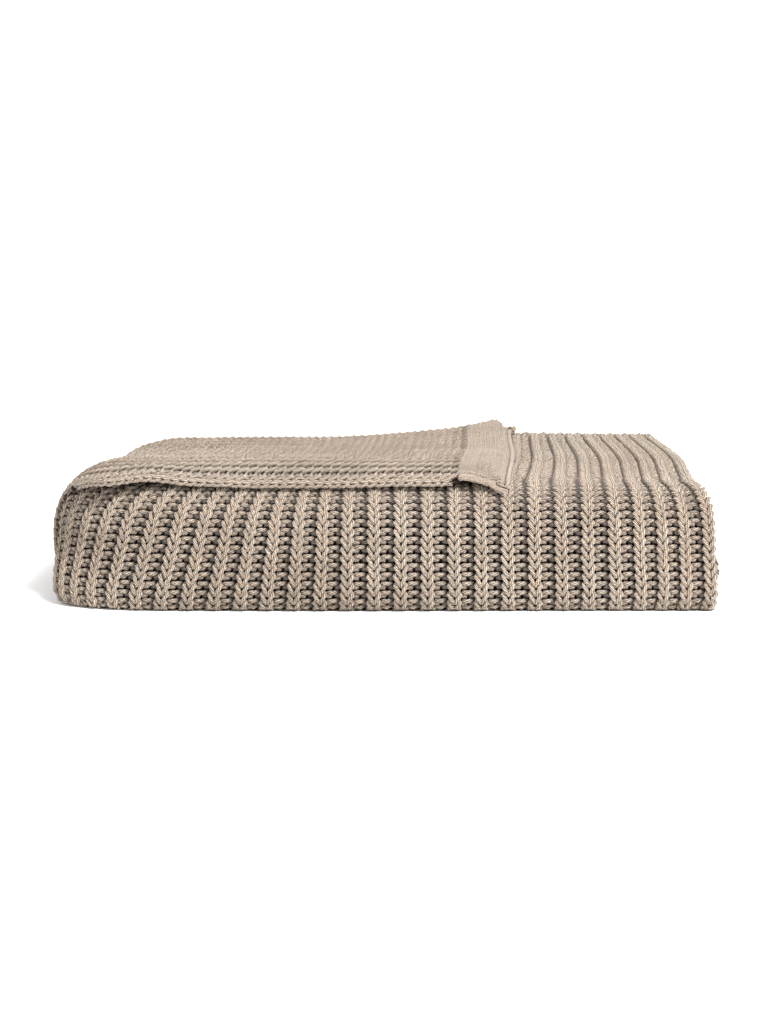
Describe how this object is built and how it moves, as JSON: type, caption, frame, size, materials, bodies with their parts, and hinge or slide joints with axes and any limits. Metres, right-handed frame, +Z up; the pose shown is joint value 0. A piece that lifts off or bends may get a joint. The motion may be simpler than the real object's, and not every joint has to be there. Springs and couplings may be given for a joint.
{
  "type": "folded throw blanket",
  "caption": "Chunky ribbed cotton throw folded into a low rectangular stack, rounded at the front, with one flap on top that ends in a finer knitted band.",
  "frame": {"origin": "middle of the outline on the surface that the folded throw rests on", "axes": "+X to the right along the rounded front fold, +Y from the front fold to the open back, +Z up"},
  "size_m": [0.4697, 0.3571, 0.0995],
  "materials": {
    "rib_knit": "matte",
    "fine_knit": "matte"
  },
  "bodies": {
    "root": {"throw": "rib_knit", "end_band": "fine_knit"}
  },
  "joints": []
}
